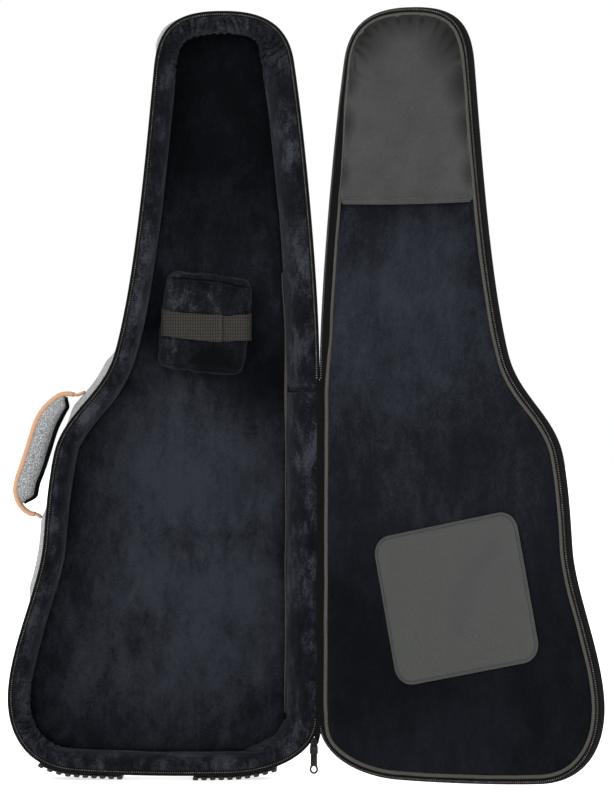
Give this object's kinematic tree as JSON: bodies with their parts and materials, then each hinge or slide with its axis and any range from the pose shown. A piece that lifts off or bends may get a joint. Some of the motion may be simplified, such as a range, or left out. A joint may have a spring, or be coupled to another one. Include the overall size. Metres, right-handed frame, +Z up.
{
  "type": "padded gig bag",
  "caption": "Padded electric-guitar gig bag standing open like a book, with a hinged lid, zip, neck pillow, side handle and back straps.",
  "frame": {"origin": "middle of the footprint at ground level, bag standing open on its ribbed feet", "axes": "+Z up along the bag's length, -Y towards someone looking into the open bag, +X towards the opened lid"},
  "size_m": [0.8054, 0.3166, 1.0601],
  "materials": {
    "heather_fabric": "matte",
    "plush": "matte",
    "foam": "matte",
    "black_tape": "matte",
    "zip_teeth": "satin",
    "grey_trim": "matte",
    "grey_nylon": "matte",
    "webbing": "matte",
    "tan_leather": "satin",
    "rubber": "matte",
    "black_metal": "satin",
    "black_plastic": "satin"
  },
  "bodies": {
    "bag_body": {"back_panel": "heather_fabric", "side_wall": "heather_fabric", "back_piping": "grey_trim", "back_foam": "foam", "wall_foam": "foam", "floor_lining": "plush", "wall_lining": "plush", "floor_piping": "grey_trim", "corner_pad": "plush", "body_zip_tape": "black_tape", "body_zip_chain": "zip_teeth", "hinge_gusset": "black_tape", "neck_pillow": "plush", "foot_strip_left": "rubber", "foot_strip_right": "rubber", "handle_anchor_upper": "tan_leather", "handle_anchor_lower": "tan_leather", "zip_slider": "black_metal", "haul_patch": "webbing", "shoulder_strap_left": "heather_fabric", "shoulder_strap_right": "heather_fabric", "strap_buckle_left": "black_plastic", "strap_buckle_right": "black_plastic", "strap_webbing_left": "webbing", "strap_webbing_right": "webbing"},
    "lid": {"lid_shell": "heather_fabric", "lid_foam": "foam", "lid_zip_tape": "black_tape", "lid_zip_chain": "zip_teeth", "lid_gusset": "black_tape", "lid_piping": "grey_trim", "lid_lining": "plush", "headstock_panel": "grey_nylon", "bridge_patch": "grey_nylon", "accessory_pocket": "heather_fabric", "pocket_zip_chain": "zip_teeth"},
    "side_handle": {"handle_band": "tan_leather", "handle_grip": "heather_fabric", "handle_underside": "black_tape"},
    "strap": {"neck_strap": "webbing"},
    "strap_tab": {"neck_strap_tab": "webbing"},
    "main_puller": {"zip_puller": "black_metal"},
    "back_loop": {"haul_loop": "webbing"},
    "small_slider": {"pocket_slider": "black_metal"},
    "small_puller": {"pocket_puller": "black_metal"}
  },
  "joints": [
    {"name": "lid_hinge", "type": "hinge", "parent": "bag_body", "child": "lid", "pos_m": [0.02438, 0.04725, 0.30165], "axis": [0.0035, 0, 1], "range_deg": [-151, 29]},
    {"name": "handle_swing", "type": "hinge", "parent": "bag_body", "child": "side_handle", "pos_m": [-0.31283, 0.09625, 0.52983], "axis": [0.3091, 0, 0.951], "range_deg": [-20, 20], "stiffness_Nm_per_rad": 0.6},
    {"name": "neck_strap_open", "type": "hinge", "parent": "bag_body", "child": "strap", "pos_m": [-0.1895, 0.07925, 0.6234], "axis": [-0.0035, 0, -1], "range_deg": [0, 110]},
    {"name": "neck_tab_open", "type": "hinge", "parent": "bag_body", "child": "strap_tab", "pos_m": [-0.0755, 0.08095, 0.623], "axis": [0.0035, 0, 1], "range_deg": [0, 60]},
    {"name": "zip_puller_swing", "type": "hinge", "parent": "bag_body", "child": "main_puller", "pos_m": [0.02048, 0.03885, 0.04366], "axis": [-1, 0, 0.0035], "range_deg": [-8, 150]},
    {"name": "haul_loop_swing", "type": "hinge", "parent": "bag_body", "child": "back_loop", "pos_m": [-0.10751, 0.15035, 0.90711], "axis": [1, 0, -0.0035], "range_deg": [0, 110]},
    {"name": "pocket_zip_travel", "type": "slide", "parent": "lid", "child": "small_slider", "axis": [0.8746, -0.4848, -0.0031], "range_m": [0, 0.2]},
    {"name": "pocket_puller_swing", "type": "hinge", "parent": "small_slider", "child": "small_puller", "pos_m": [0.13921, 0.0378, 0.30725], "axis": [0.8746, -0.4848, -0.0031], "range_deg": [0, 150]}
  ],
  "couplings": [
    {"joint": "neck_tab_open", "follows": "neck_strap_open", "ratio": 0.5}
  ]
}
